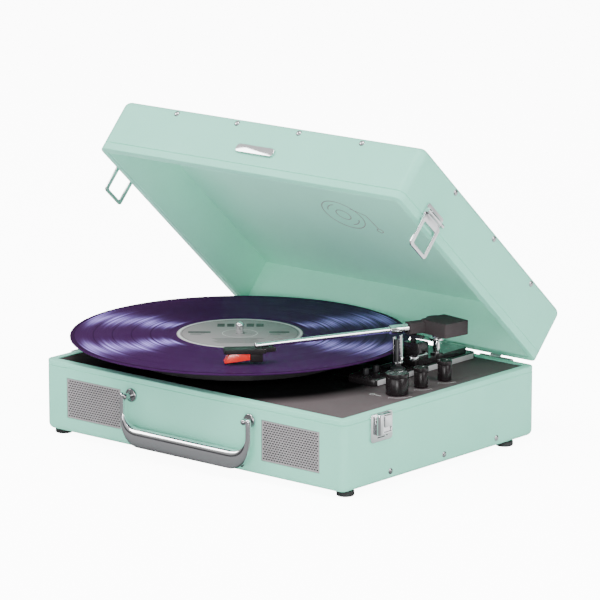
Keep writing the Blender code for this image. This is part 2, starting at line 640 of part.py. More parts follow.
def build_arm():
    """The tonearm: a gimbal on the pivot post, and the arm that tips on the gimbal's cross pin."""
    to_rim = -ARM_RISE
    gimbal = [(0.0018, to_rim + 0.0243), (0.0065, to_rim + 0.0243), (0.0065, to_rim + 0.0263),
              (0.0018, to_rim + 0.0263)]
    yoke = piece("arm_gimbal", turned(gimbal, 20), CHROME, parent=ARM_AXIS)
    join(yoke, box((-0.0034, -0.0027, to_rim + 0.0255), (0.0034, 0.0027, 0.0025)))
    cut(yoke, rod(0.0018, to_rim + 0.0235, to_rim + 0.0310, 12))
    cut(yoke, rod(0.0014, -0.01, 0.01, 12, "X"))
    smooth(yoke)
    smooth(piece("gimbal_pin", rod(0.0011, -0.0078, 0.0078, 12, "X"), STEEL, parent=ARM_AXIS))
    body = spun(rounded_box((-0.016, -0.014, -0.006), (0.016, 0.014, 0.0065), 0.0015), math.radians(14.2))
    block = piece("arm_block", moved(body, (0.0111, 0.0019, 0.0)), CHARCOAL, parent=ARM_AXIS)
    join(block, rod(0.0095, -0.0058, 0.0062, 24))
    join(block, rounded_box((-0.005, -0.029, -0.0055), (0.005, -0.002, 0.005), 0.0015, axis=1))
    cut(block, box((-0.0042, -0.0052, -0.0075), (0.0042, 0.0052, 0.0035)))
    cut(block, rod(0.0014, -0.0082, 0.0082, 12, "X"))
    tube = [(0.0, 0.0293), (0.004, 0.0293), (0.004, 0.047), (TUBE_RADIUS, 0.0475),
            (0.0021, ARM_LENGTH), (0.0018, ARM_LENGTH + 0.006), (0.0, ARM_LENGTH + 0.006)]
    smooth(piece("arm_tube", turned(tube, 16, "Y"), CHROME, parent=ARM_AXIS))
    shell_top = -0.0026
    shell = piece("headshell", rounded_box((-0.0075, -0.0325, -0.0062), (0.0075, 0.004, shell_top), 0.002),
                  BLACK, parent=HEAD_FRAME)
    join(shell, box((-0.0045, -ARM_LENGTH - 0.002, -0.0062), (0.0045, -ARM_LENGTH + 0.012, shell_top)),
         (0.0, 0.0, 0.0), ARM_AXIS)
    piece("cartridge", box((-0.006, -0.0098, -0.0138), (0.006, 0.001, -0.0065)), BLACK, parent=HEAD_FRAME)
    stylus = piece("stylus", wedge(), RED, parent=HEAD_FRAME)
    point = RECORD_RISE + RECORD_THICKNESS + 0.0004 - ARM_RISE
    needle = [(0.0, point), (0.0006, point + 0.001), (0.0009, -0.012), (0.0, -0.012)]
    join(stylus, turned(needle, 8), (0.0, -0.029, 0.0))


def wedge():
    """The stylus carrier seen from the side: deep at the nose and shallow at the back."""
    side = [(-0.0101, -0.0065), (-0.0275, -0.0065), (-0.0322, -0.0138), (-0.0315, -0.0145),
            (-0.0101, -0.0118)]
    bm = extruded(side, -0.0055, 0.0055)
    bmesh.ops.transform(bm, matrix=Matrix(((0, 0, 1, 0), (1, 0, 0, 0), (0, 1, 0, 0), (0, 0, 0, 1))),
                        verts=bm.verts)
    return bm


def build_arm_rest():
    """The post that holds the parked arm, with a chromed fork open towards the record."""
    angle = ARM_ANGLE - REST_ANGLE
    place = (ARM_PIVOT_X - REST_REACH * math.sin(angle), ARM_PIVOT_Y - REST_REACH * math.cos(angle), RIM_Z)
    low = POD_TOP + GAP
    post = [(0.0, low), (0.0065, low), (0.0065, low + 0.002), (0.0026, low + 0.004), (0.0026, 0.0335),
            (0.0, 0.0335)]
    smooth(piece("arm_rest", turned(post, 16), BLACK, place))
    inner = 0.003
    outer = inner + 0.0012
    bottom = 0.0125
    ring = [(-outer, bottom), (outer, bottom), (outer, 0.0378), (inner, 0.0378), (inner, bottom + 0.0015),
            (-inner, bottom + 0.0015), (-inner, 0.0351), (-outer, 0.0351)]
    bm = extruded(ring, -0.002, 0.002)
    bmesh.ops.rotate(bm, matrix=Matrix.Rotation(math.radians(90), 3, "X"), verts=bm.verts)
    fork = piece("arm_fork", bm, CHROME, place)
    join(fork, rod(0.005, bottom, bottom + 0.0015, 16))
    cut(fork, rod(0.0026 + GAP, low, 0.04, 16))


def build_controls():
    """Three turning knobs on the deck and two slide switches on the arm's base."""
    strap_top = DECK_BOTTOM - GAP - RIM_Z
    foot = -DECK_DROP + GAP
    sizes = (("volume", 0.0098, 0.0186), ("tone", 0.0066, 0.0176), ("source", 0.0066, 0.0176))
    for index, (use, radius, top) in enumerate(sizes):
        shaft = 0.003
        lip = radius + (0.0005 if index == 0 else 0.0)
        profile = [(0.0, strap_top - 0.011), (shaft, strap_top - 0.011), (shaft, foot), (radius, foot),
                   (radius, top - 0.0035), (lip, top - 0.003), (lip, top - 0.0008), (lip - 0.0008, top),
                   (0.0, top)]
        place = (KNOB_X, KNOB_FIRST_Y + index * KNOB_PITCH, RIM_Z)
        smooth(piece("knob_" + use, turned(profile, 24), BLACK, place))
    for name, y in (("speed_switch", 0.004), ("auto_stop_switch", -0.010)):
        low = POD_TOP - 0.0037
        key = piece(name, box((-0.0008, -0.0009, low), (0.0008, 0.0009, POD_TOP + 0.001)), BLACK,
                    (0.0962, y, RIM_Z))
        join(key, rounded_box((-0.0016, -0.0024, POD_TOP + GAP), (0.0016, 0.0024, POD_TOP + 0.0055), 0.0008))


build_case()
build_deck()
build_feet()
build_sound()
build_electrics()
build_platter()
build_drive()
build_lid()
build_hinges()
build_hasps()
build_handle()
build_arm_base()
build_cue()
build_arm()
build_arm_rest()
build_controls()
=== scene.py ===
import json
import math

import bmesh
import bpy
from mathutils import Matrix, Vector


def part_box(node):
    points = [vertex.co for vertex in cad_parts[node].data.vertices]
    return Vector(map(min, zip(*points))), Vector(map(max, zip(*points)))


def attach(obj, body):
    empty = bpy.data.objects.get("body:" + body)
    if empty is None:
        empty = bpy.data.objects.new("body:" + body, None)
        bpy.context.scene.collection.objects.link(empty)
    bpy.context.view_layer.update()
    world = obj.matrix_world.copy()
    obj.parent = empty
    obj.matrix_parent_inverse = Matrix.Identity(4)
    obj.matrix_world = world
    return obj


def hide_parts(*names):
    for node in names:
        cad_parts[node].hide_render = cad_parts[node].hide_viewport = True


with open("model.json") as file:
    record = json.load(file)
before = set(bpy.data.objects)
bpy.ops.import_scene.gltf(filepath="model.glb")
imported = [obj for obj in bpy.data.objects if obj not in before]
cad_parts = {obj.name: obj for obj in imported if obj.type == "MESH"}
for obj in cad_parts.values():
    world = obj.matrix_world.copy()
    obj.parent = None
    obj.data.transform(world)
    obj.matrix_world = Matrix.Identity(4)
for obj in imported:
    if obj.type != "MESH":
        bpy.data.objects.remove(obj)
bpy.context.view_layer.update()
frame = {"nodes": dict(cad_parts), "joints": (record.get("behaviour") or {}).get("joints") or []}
nodes = frame["nodes"]
joints = {joint["name"]: joint for joint in frame["joints"]}


# The stage: a pale floor, soft panels of light and a long lens at standing height.
# The player stands a little turned, so that its front and right side both show.
case_low, case_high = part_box("case_shell")
case_middle = (case_low + case_high) / 2
case_half = (case_high - case_low) / 2
rim_z = case_high.z

azimuth = math.radians(40.562)
elevation = math.radians(12.892)
distance = 3.902
back = Vector((math.sin(azimuth) * math.cos(elevation), -math.cos(azimuth) * math.cos(elevation),
               math.sin(elevation)))
right = Vector((math.cos(azimuth), math.sin(azimuth), 0.0))
up = back.cross(right)
target = Vector((case_middle.x, case_middle.y, 0.060)) + right * 0.0092 + up * 0.0627
lens = bpy.data.cameras.new("long_lens")
lens.lens = 264.57
lens.sensor_width = 36.0
lens.clip_end = 50.0
camera = bpy.data.objects.new("camera", lens)
view_axes = Matrix((right, up, back)).transposed()
camera.matrix_world = Matrix.Translation(target + back * distance) @ view_axes.to_4x4()
bpy.context.scene.collection.objects.link(camera)
bpy.context.scene.camera = camera


def feed(tree, socket, value):
    """Give an input a link or a value. A colour comes without its alpha."""
    if isinstance(value, bpy.types.NodeSocket):
        tree.links.new(value, socket)
    else:
        socket.default_value = (*value, 1.0) if socket.type == "RGBA" else value


def fill(tree, node, **settings):
    """Set a node's properties and feed its inputs, each by name."""
    for key, value in settings.items():
        socket = next((s for s in node.inputs if s.name.lower().replace(" ", "_") == key), None)
        if socket is None:
            setattr(node, key, value)
        else:
            feed(tree, socket, value)
    return node


def add(tree, kind, **settings):
    """One new shader node."""
    return fill(tree, tree.nodes.new("ShaderNode" + kind), **settings)


def maths(tree, operation, *values):
    """A Math node's result from one or two numbers or links."""
    node = add(tree, "Math", operation=operation)
    for socket, value in zip(node.inputs, values):
        feed(tree, socket, value)
    return node.outputs[0]


def product(tree, result, *others):
    for value in others:
        result = maths(tree, "MULTIPLY", result, value)
    return result


def ranged(tree, value, low, high, new_low=0.0, new_high=1.0):
    """A value moved from one range to another and kept inside it."""
    node = add(tree, "MapRange", value=value, from_min=low, from_max=high, to_min=new_low, to_max=new_high)
    return node.outputs["Result"]


def mixed(tree, factor, first, second):
    """A colour between two others."""
    node = add(tree, "Mix", data_type="RGBA")
    for index, value in ((0, factor), (6, first), (7, second)):
        feed(tree, node.inputs[index], value)
    return node.outputs[2]


def blank_material(name):
    """A material, its tree, its shader and the place on the piece."""
    material = bpy.data.materials.new(name)
    material.use_nodes = True
    tree = material.node_tree
    return material, tree, tree.nodes["Principled BSDF"], add(tree, "TexCoord").outputs["Object"]


def soft_panel(name, place, aim, size, power):
    light = bpy.data.lights.new(name, "AREA")
    light.shape = "RECTANGLE"
    light.size, light.size_y = size
    light.energy = power
    panel = bpy.data.objects.new(name, light)
    panel.location = place
    panel.rotation_euler = (Vector(aim) - Vector(place)).to_track_quat("-Z", "Y").to_euler()
    bpy.context.scene.collection.objects.link(panel)


soft_panel("panel_left", (-1.7, -1.0, 1.5), (0.0, 0.0, 0.10), (1.0, 1.0), 30.0)
soft_panel("panel_low", (0.2, -2.3, 0.45), (0.0, 0.0, 0.20), (1.8, 0.5), 13.0)
soft_panel("panel_right", (1.9, 0.2, 0.9), (0.0, 0.0, 0.12), (0.8, 1.0), 25.0)
soft_panel("panel_lid", (1.5, -1.7, 0.30), (-0.05, 0.05, 0.20), (0.7, 0.5), 17.0)
soft_panel("panel_top", (0.1, -0.5, 2.1), (0.0, 0.0, 0.0), (1.3, 0.9), 44.0)

surroundings = bpy.data.worlds.new("studio")
surroundings.use_nodes = True
tree = surroundings.node_tree
heading = add(tree, "TexCoord").outputs["Generated"]
height = add(tree, "SeparateXYZ", vector=heading).outputs["Z"]
sky = add(tree, "ValToRGB", fac=ranged(tree, height, 0.0, 1.0))
sky.color_ramp.elements[0].position = 0.10
sky.color_ramp.elements[0].color = (0.10, 0.10, 0.105, 1.0)
sky.color_ramp.elements[1].position = 0.55
sky.color_ramp.elements[1].color = (1.25, 1.25, 1.25, 1.0)
seen = add(tree, "LightPath").outputs["Is Camera Ray"]
backdrop = mixed(tree, seen, sky.outputs["Color"], (13.0, 13.0, 13.0))
fill(tree, tree.nodes["Background"], color=backdrop, strength=0.75)
bpy.context.scene.world = surroundings

bm = bmesh.new()
bmesh.ops.create_circle(bm, segments=64, radius=9.0, cap_ends=True)
bmesh.ops.translate(bm, vec=(0.0, 0.0, -0.0002), verts=bm.verts)
mesh = bpy.data.meshes.new("floor")
bm.to_mesh(mesh)
bm.free()
floor = bpy.data.objects.new("floor", mesh)
bpy.context.scene.collection.objects.link(floor)
# The floor is lit white to the eye. In reflections its front half is a deep grey, so that
# bright metal keeps dark lines, and it pales towards the back.
paint, tree, shader, floor_place = blank_material("floor_paint")
specks = add(tree, "TexNoise", vector=floor_place, scale=40.0, detail=4.0)
pale = mixed(tree, specks.outputs["Fac"], (0.90, 0.90, 0.90), (0.93, 0.93, 0.93))
depth = add(tree, "SeparateXYZ", vector=floor_place).outputs["Y"]
reflected = mixed(tree, ranged(tree, depth, -0.10, 0.12), (0.14, 0.14, 0.145), (0.85, 0.85, 0.86))
rays = add(tree, "LightPath").outputs
fill(tree, shader, base_color=mixed(tree, rays["Is Glossy Ray"], pale, reflected), roughness=0.75,
     specular_ior_level=0.1, emission_color=(1.0, 1.0, 1.0),
     emission_strength=product(tree, rays["Is Camera Ray"], 10.0))
mesh.materials.append(paint)


# The case body: wood-fibre board wrapped in mint leatherette, which is folded over the rim
# and glued down, with a pressed line below it. Windows in the front wall take the grilles.
def effect_group(name, inputs, outputs):
    """An empty node group with its sockets, its input sockets and its output node."""
    group = bpy.data.node_groups.new(name, "ShaderNodeTree")
    for way, sockets in (("INPUT", inputs), ("OUTPUT", outputs)):
        for label, kind in sockets.items():
            group.interface.new_socket(label, in_out=way, socket_type="NodeSocket" + kind)
    return group, group.nodes.new("NodeGroupInput").outputs, group.nodes.new("NodeGroupOutput")


leather_grain, start, end = effect_group(
    "leather_grain", {"Vector": "Vector", "Cells Per Metre": "Float"}, {"Height": "Float", "Cloud": "Float"})
cells = add(leather_grain, "TexVoronoi", vector=start["Vector"], scale=start["Cells Per Metre"])
finer = product(leather_grain, start["Cells Per Metre"], 0.45)
creases = add(leather_grain, "TexNoise", vector=start["Vector"], scale=finer, detail=3.0)
mound = product(leather_grain, cells.outputs["Distance"], 0.6)
clouds = add(leather_grain, "TexNoise", vector=start["Vector"], scale=22.0, detail=3.0)
fill(leather_grain, end, height=maths(leather_grain, "ADD", mound, creases.outputs["Fac"]),
     cloud=ranged(leather_grain, clouds.outputs["Fac"], 0.3, 0.7))

handling, start, end = effect_group(
    "handling", {"Vector": "Vector", "Marks Per Metre": "Float"}, {"Smudge": "Float", "Dust": "Float"})
smears = add(handling, "TexNoise", vector=start["Vector"], scale=start["Marks Per Metre"], detail=5.0,
             roughness=0.65)
flecks = add(handling, "TexNoise", vector=start["Vector"], scale=2600.0, detail=1.0)
fill(handling, end, smudge=ranged(handling, smears.outputs["Fac"], 0.42, 0.68),
     dust=ranged(handling, flecks.outputs["Fac"], 0.70, 0.80))


def leatherette(name, colour, deeper, cells_per_metre, depth, roughness):
    """Coated cloth with a fine pressed grain."""
    material, tree, shader, place = blank_material(name)
    grain = add(tree, "Group", node_tree=leather_grain, vector=place, cells_per_metre=cells_per_metre).outputs
    marks = add(tree, "Group", node_tree=handling, vector=place, marks_per_metre=30.0).outputs
    body = mixed(tree, grain["Cloud"], deeper, colour)
    pores = ranged(tree, grain["Height"], 0.35, 0.75, 0.90, 1.03)
    fill(tree, shader, base_color=mixed(tree, pores, (0.0, 0.0, 0.0), body),
         roughness=ranged(tree, marks["Smudge"], 0.0, 1.0, roughness - 0.05, roughness + 0.08),
         normal=add(tree, "Bump", strength=0.6, distance=depth, height=grain["Height"]).outputs["Normal"],
         specular_ior_level=0.4, sheen_weight=0.08, sheen_roughness=0.5)
    return material


mint_cover = leatherette("mint_leatherette", (0.255, 0.705, 0.545), (0.235, 0.680, 0.515), 1300.0, 0.00016,
                         0.50)


def box_shape(low, high):
    bm = bmesh.new()
    bmesh.ops.create_cube(bm, size=1.0)
    bmesh.ops.scale(bm, vec=Vector(high) - Vector(low), verts=bm.verts)
    bmesh.ops.translate(bm, vec=(Vector(high) + Vector(low)) / 2, verts=bm.verts)
    return bm


def rounded(bm, radius, segments, chosen):
    """The edges that chosen(edge) picks, rounded."""
    edges = [edge for edge in bm.edges if chosen(edge)]
    bmesh.ops.bevel(bm, geom=edges, offset=radius, segments=segments, affect="EDGES", profile=0.5,
                    material=-1)
    return bm


def upright(edge):
    run = edge.verts[1].co - edge.verts[0].co
    return abs(run.z) > 0.999 * run.length


def at_height(height):
    """A choice of the edges that lie at a height."""
    return lambda edge: all(abs(vert.co.z - height) < 1e-6 for vert in edge.verts)


def finished(name, bm, material, body, replaced=(), angle=38.0):
    """A shape as a shown piece that moves with a body."""
    bmesh.ops.recalc_face_normals(bm, faces=bm.faces)
    mesh = bpy.data.meshes.new(name)
    bm.to_mesh(mesh)
    bm.free()
    mesh.shade_smooth()
    mesh.set_sharp_from_angle(angle=math.radians(angle))
    mesh.materials.append(material)
    piece = bpy.data.objects.new(name, mesh)
    bpy.context.scene.collection.objects.link(piece)
    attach(piece, body)
    if replaced:
        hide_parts(*replaced)
    return piece


def carve(bm, tools):
    """Cut shapes out of a closed one."""
    meshes = []
    for shape in (bm, *tools):
        mesh = bpy.data.meshes.new("carving")
        bmesh.ops.recalc_face_normals(shape, faces=shape.faces)
        shape.to_mesh(mesh)
        shape.free()
        meshes.append(mesh)
    blank, *cutters = [bpy.data.objects.new("carving", mesh) for mesh in meshes]
    for obj in (blank, *cutters):
        bpy.context.scene.collection.objects.link(obj)
    for cutter in cutters:
        modifier = blank.modifiers.new("cut", "BOOLEAN")
        modifier.operation = "DIFFERENCE"
        modifier.solver = "EXACT"
        modifier.object = cutter
    bpy.context.view_layer.update()
    result = bmesh.new()
    result.from_object(blank, bpy.context.evaluated_depsgraph_get())
    for obj in (blank, *cutters):
        bpy.data.objects.remove(obj, do_unlink=True)
    for mesh in meshes:
        bpy.data.meshes.remove(mesh)
    return result


def pressed_line(bm, height, depth=0.0006):
    """A shallow line pressed round a box at a height."""
    for level in (height - depth, height, height + depth):
        everything = list(bm.verts) + list(bm.edges) + list(bm.faces)
        bmesh.ops.bisect_plane(bm, geom=everything, plane_co=(0, 0, level), plane_no=(0, 0, 1))
    bm.normal_update()
    for vert in bm.verts:
        if abs(vert.co.z - height) < 1e-6:
            vert.co -= Vector((vert.normal.x, vert.normal.y, 0.0)).normalized() * depth
    return bm


def covered_box(low, high, rim, line, closed_end, bend, segments):
    """A covered box, rounder at its closed end, with a line pressed beside its rim."""
    corner_radius = 0.008
    rim_radius = 0.0008
    bm = rounded(box_shape(low, high), corner_radius, 8, upright)
    rounded(bm, bend, segments, at_height(closed_end))
    rounded(bm, rim_radius, 3, at_height(rim))
    return pressed_line(bm, line)


board = 0.012
rim_wall = 0.008
inner_corner = 0.002
past = 0.01
bm = covered_box(case_low, case_high, rim_z, rim_z - 0.0047, case_low.z, 0.0055, 6)
cavity = box_shape((case_low.x + board, case_low.y + board, case_low.z + 0.006),
                   (case_high.x - board, case_high.y - board, rim_z - 0.001))
rebate = box_shape((case_low.x + rim_wall, case_low.y + rim_wall, rim_z - 0.004),
                   (case_high.x - rim_wall, case_high.y - rim_wall, rim_z + past))
tools = [cavity, rounded(rebate, inner_corner, 4, upright)]
for name in ("grille_left", "grille_right"):
    low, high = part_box(name)
    for wider, reach in ((0.0003, 0.0015), (-0.003, 0.02)):
        tools.append(box_shape((low.x - wider, case_low.y - past, low.z - wider),
                               (high.x + wider, case_low.y + reach, high.z + wider)))
low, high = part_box("socket_plate")
socket_x = (low.x + high.x) / 2
socket_z = (low.z + high.z) / 2
tools.append(box_shape((socket_x - 0.028, case_high.y - 0.02, socket_z - 0.007),
                       (socket_x + 0.028, case_high.y + past, socket_z + 0.007)))
finished("case_cover", carve(bm, tools), mint_cover, "case", ["case_shell"])


# The lid: the same board and leatherette, open on two leaf hinges at its back edge.
# Its pieces are drawn shut, in the hinge's own frame, and then turned open.
hinge_place = Vector(joints["lid_hinge"]["pos_m"])
lid_opening = math.radians(42.5)
lid_open = Matrix.Translation(hinge_place) @ Matrix.Rotation(-lid_opening, 4, "X")
lid_back = case_high.y - hinge_place.y
lid_front = lid_back - 2 * case_half.y
lid_rim = 0.0024
lid_height = 0.0529
lid_top = lid_rim + lid_height
lid_wall = 0.0065


def placed(bm, matrix):
    bmesh.ops.transform(bm, matrix=matrix, verts=bm.verts)
    return bm


half_x = case_half.x
bm = covered_box((-half_x, lid_front, lid_rim), (half_x, lid_back, lid_top), lid_rim, lid_rim + 0.0072,
                 lid_top, 0.007, 8)
hollow = box_shape((-half_x + lid_wall, lid_front + lid_wall, lid_rim - past),
                   (half_x - lid_wall, lid_back - lid_wall, lid_top - lid_wall))
bm = carve(bm, [rounded(hollow, inner_corner, 4, upright)])
finished("lid_cover", placed(bm, lid_open), mint_cover, "lid", ["lid_shell"])


# The lining: one tray of card papered in a slightly deeper mint, pushed into the lid
# so that its thin edge shows all round inside the board.
lining_paper = leatherette("lining_paper", (0.395, 0.890, 0.705), (0.370, 0.860, 0.675), 900.0, 0.00006, 0.62)
slack = 0.0003
card = 0.0015
tray_x = half_x - lid_wall - slack
tray_front = lid_front + lid_wall + slack
tray_back = lid_back - lid_wall - slack
tray_top = lid_top - lid_wall - slack
tray_rim = lid_rim + 0.0005
tray = box_shape((-tray_x, tray_front, tray_rim), (tray_x, tray_back, tray_top))
inner = box_shape((-tray_x + card, tray_front + card, lid_rim - past),
                  (tray_x - card, tray_back - card, tray_top - card))
bm = carve(rounded(tray, inner_corner, 4, upright), [inner])
rounded(bm, 0.0004, 2, at_height(tray_rim))
finished("lining_tray", placed(bm, lid_open), lining_paper, "lid", ["lid_lining"])


# The lid's picture: two rings and an arm printed in a thin darker line on the lining,
# a plain drawing of a record and nothing more.
def ink(name, colour, roughness):
    """A printed line, slightly uneven."""
    material, tree, shader, place = blank_material(name)
    blotches = add(tree, "TexNoise", vector=place, scale=900.0, detail=2.0)
    dry = mixed(tree, blotches.outputs["Fac"], [part * 0.8 for part in colour], colour)
    fill(tree, shader, base_color=dry, roughness=roughness)
    return material


def arc_strip(centre, radius, width, height, thickness, steps, start=0.0, sweep=math.tau):
    """A flat band with a little thickness, along an arc or all the way round."""
    bm = bmesh.new()
    ends = [bm.verts.new((centre[0] + reach * math.cos(start), centre[1] + reach * math.sin(start), height))
            for reach in (radius - width / 2, radius + width / 2)]
    bmesh.ops.spin(bm, geom=[bm.edges.new(ends)], cent=(*centre, height), axis=(0, 0, 1), angle=sweep,
                   steps=steps, use_merge=sweep == math.tau)
    bmesh.ops.remove_doubles(bm, verts=bm.verts, dist=1e-7)
    grown = bmesh.ops.extrude_face_region(bm, geom=list(bm.faces))["geom"]
    upper = [item for item in grown if isinstance(item, bmesh.types.BMVert)]
    bmesh.ops.translate(bm, vec=(0, 0, thickness), verts=upper)
    return bm


def bar_strip(start, finish, width, height, thickness):
    """A flat straight band between two points."""
    first = Vector((*start, 0.0))
    last = Vector((*finish, 0.0))
    bm = box_shape((0.0, -width / 2, 0.0), ((last - first).length, width / 2, thickness))
    angle = math.atan2(last.y - first.y, last.x - first.x)
    return placed(bm, Matrix.Translation((first.x, first.y, height)) @ Matrix.Rotation(angle, 4, "Z"))


def gathered(shapes):
    """Several shapes as one mesh."""
    whole = bmesh.new()
    for shape in shapes:
        part = bpy.data.meshes.new("part")
        bmesh.ops.recalc_face_normals(shape, faces=shape.faces)
        shape.to_mesh(part)
        shape.free()
        whole.from_mesh(part)
        bpy.data.meshes.remove(part)
    return whole


picture_line = ink("picture_line", (0.34, 0.33, 0.31), 0.45)
ceiling = tray_top - card
thin = 0.0009
foil = 0.00012
needle_top = (0.031, 0.016)
elbow = (0.029, -0.005)
middle = (0.0, 0.0)
shapes = [arc_strip(middle, 0.0215, thin, 0.0, foil, 72), arc_strip(middle, 0.0075, thin, 0.0, foil, 40),
          *[arc_strip(middle, 0.0155, thin, 0.0, foil, 24, math.radians(start), math.radians(60))
            for start in (200, 20)],
          bar_strip(needle_top, elbow, thin, 0.0, foil),
          bar_strip(elbow, (0.015, -0.013), thin, 0.0, foil),
          arc_strip((0.031, 0.019), 0.003, thin, 0.0, foil, 32)]
picture_place = lid_open @ Matrix.Translation((0.004, lid_front + 0.134, ceiling - 0.0001))
finished("lid_picture", placed(gathered(shapes), picture_place), picture_line, "lid")


# The rivets: domed steel heads, chromed, pressed through the cover into the board.
# They run along the lid's front and sides, the case's sides and beside the handle.
def plated(name, colour, roughness):
    """Bright plating with faint wipe marks and specks."""
    material, tree, shader, place = blank_material(name)
    wear = add(tree, "Group", node_tree=handling, vector=place, marks_per_metre=60.0).outputs
    ripple = add(tree, "TexNoise", vector=place, scale=180.0, detail=1.0)
    bump = add(tree, "Bump", strength=0.15, distance=0.0001, height=ripple.outputs["Fac"])
    fill(tree, shader, base_color=mixed(tree, wear["Dust"], colour, [part * 0.9 for part in colour]),
         roughness=ranged(tree, wear["Smudge"], 0.0, 1.0, roughness, roughness + 0.09),
         normal=bump.outputs["Normal"], metallic=1.0)
    return material


chrome = plated("bright_chrome", (0.80, 0.80, 0.815), 0.07)


def turned(profile, steps=64):
    """A solid of revolution round Z from an outline that runs from axis to axis."""
    bm = bmesh.new()
    verts = [bm.verts.new((radius, 0.0, height)) for radius, height in profile]
    edges = [bm.edges.new(pair) for pair in zip(verts, verts[1:])]
    bmesh.ops.spin(bm, geom=edges, cent=(0, 0, 0), axis=(0, 0, 1), angle=math.tau, steps=steps,
                   use_merge=True)
    bmesh.ops.remove_doubles(bm, verts=bm.verts, dist=1e-7)
    return bm


def arc_points(radius, height, bend, start, finish, steps):
    """Points along a rounded corner of an outline."""
    angles = [math.radians(start + (finish - start) * step / steps) for step in range(steps + 1)]
    return [(radius + bend * math.cos(angle), height + bend * math.sin(angle)) for angle in angles]


def stood(bm, point, direction=(0, 0, 1)):
    """A shape drawn up Z from the origin, stood at a point and turned to face a direction."""
    turn = Vector((0, 0, 1)).rotation_difference(Vector(direction)).to_matrix().to_4x4()
    return placed(bm, Matrix.Translation(point) @ turn)


def rivet_heads(places):
    """Rivet heads at points, each with the way it faces."""
    radius = 0.00275
    rise = 0.0013
    root = -0.0003
    angles = [math.radians(turn) for turn in range(0, 91, 15)]
    dome = [(radius * math.sin(angle), rise * math.cos(angle)) for angle in angles]
    profile = [*dome, (radius, root), (0.0, root)]
    return gathered([stood(turned(profile, 24), point, direction) for point, direction in places])


forwards = (0, -1, 0)
backwards = (0, 1, 0)
lid_row = lid_rim + 0.0460
lid_rivets = [((x, lid_front, lid_row), forwards) for x in (-0.1064, -0.0355, 0.0355, 0.1064)]
case_rivets = [((case_middle.x + x, case_low.y, 0.012), forwards) for x in (-0.0593, 0.0593)]
for side in (-1, 1):
    lid_rivets += [((side * half_x, lid_back - reach, lid_row), (side, 0, 0))
                   for reach in (0.0577, 0.1301, 0.2030)]
    case_rivets += [((case_middle.x + side * half_x, case_middle.y + y, 0.013), (side, 0, 0))
                    for y in (-0.070, 0.003, 0.076)]
rivet_plate = plated("rivet_plate", (0.42, 0.42, 0.43), 0.14)
finished("lid_rivets", placed(rivet_heads(lid_rivets), lid_open), rivet_plate, "lid")
finished("case_rivets", rivet_heads(case_rivets), rivet_plate, "case")


# The stamped and cast fittings: catches, their buttons, hasps and the name plate.
# Each is zinc or steel with its edges eased, then chromed and riveted to the board.
def eased(node, width, material, body):
    """A copy of a solid with its sharp edges eased."""
    bm = bmesh.new()
    bm.from_mesh(nodes[node].data)
    bmesh.ops.remove_doubles(bm, verts=bm.verts, dist=1e-6)
    bmesh.ops.dissolve_limit(bm, angle_limit=math.radians(0.5), verts=bm.verts, edges=bm.edges)
    crease = math.radians(32)
    sharp = [edge for edge in bm.edges if edge.is_manifold and edge.calc_face_angle(0.0) > crease]
    bmesh.ops.bevel(bm, geom=sharp, offset=width, segments=3, affect="EDGES", profile=0.5, material=-1,
                    clamp_overlap=True)
    return finished(node + "_eased", bm, material, body, [node])


for side in ("left", "right"):
    eased("catch_plate_" + side, 0.00025, chrome, "case")
    eased("catch_button_" + side, 0.0004, chrome, "button_" + side)
    eased("hasp_plate_" + side, 0.0002, chrome, "lid")
    eased("hasp_loop_" + side, 0.0002, chrome, "loop_" + side)
eased("name_plate", 0.0004, chrome, "lid")

# Each catch plate has a short slot and a round hole below the hook, drawn as thin black patches on the plate:
# painted shade in place of the dark inside the openings.
recess_black = ink("recess_black", (0.012, 0.012, 0.013), 0.6)
recesses = []
plate = 0.0015
proud = 0.00008
sunk = -0.0001
for side, sign in (("left", -1), ("right", 1)):
    low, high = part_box("catch_plate_" + side)
    face = case_middle.x + sign * (half_x + plate)
    slot = box_shape((-0.0048, -0.0004, sunk), (0.0048, 0.0004, proud))
    slot_frame = Matrix.Rotation(math.radians(90), 4, "Z") @ Matrix.Rotation(math.radians(90), 4, "X")
    recesses.append(placed(slot, Matrix.Translation((face, low.y + 0.0135, low.z + 0.0036)) @ slot_frame))
    hole = turned([(0.0, proud), (0.0011, proud), (0.0011, sunk), (0.0, sunk)], 20)
    recesses.append(stood(hole, (face, low.y + 0.0212, low.z + 0.0047), (sign, 0, 0)))
finished("catch_recesses", gathered(recesses), recess_black, "case")


# The hinges: pressed steel leaves rolled round a pin and plated. Two cross-headed screws
# hold each leaf to the back wall of the case or of the lid.
def repainted(names, material):
    """Solids that are shown as they are, in a new material."""
    for name in names:
        nodes[name].data.materials.clear()
        nodes[name].data.materials.append(material)


def screw_head(radius=0.0022, rise=0.0009):
    """A round head with a cross cut in it."""
    profile = [(0.0, rise), (radius * 0.6, rise), (radius * 0.9, rise * 0.7), (radius, 0.0), (0.0, 0.0)]
    arm = radius * 0.62
    slot = radius * 0.14
    cuts = [box_shape((-x, -y, rise * 0.3), (x, y, rise * 2)) for x, y in ((arm, slot), (slot, arm))]
    return carve(turned(profile, 24), cuts)


steel = plated("plated_steel", (0.46, 0.46, 0.47), 0.30)
leaf = 0.0013
lid_screws = []
case_screws = []
for side in ("left", "right"):
    eased("hinge_case_" + side, 0.00015, steel, "case")
    eased("hinge_lid_" + side, 0.00015, steel, "lid")
    low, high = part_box("hinge_case_" + side)
    for x in (-0.0125, 0.0125):
        x += (low.x + high.x) / 2
        case_screws.append(stood(screw_head(), (x, case_high.y + leaf, rim_z - 0.0125), backwards))
        lid_screws.append(stood(screw_head(), (x - case_middle.x, lid_back + leaf, 0.0110), backwards))
repainted(("hinge_pin_left", "hinge_pin_right"), steel)
finished("hinge_screws_case", gathered(case_screws), steel, "case")
finished("hinge_screws_lid", placed(gathered(lid_screws), lid_open), steel, "lid")


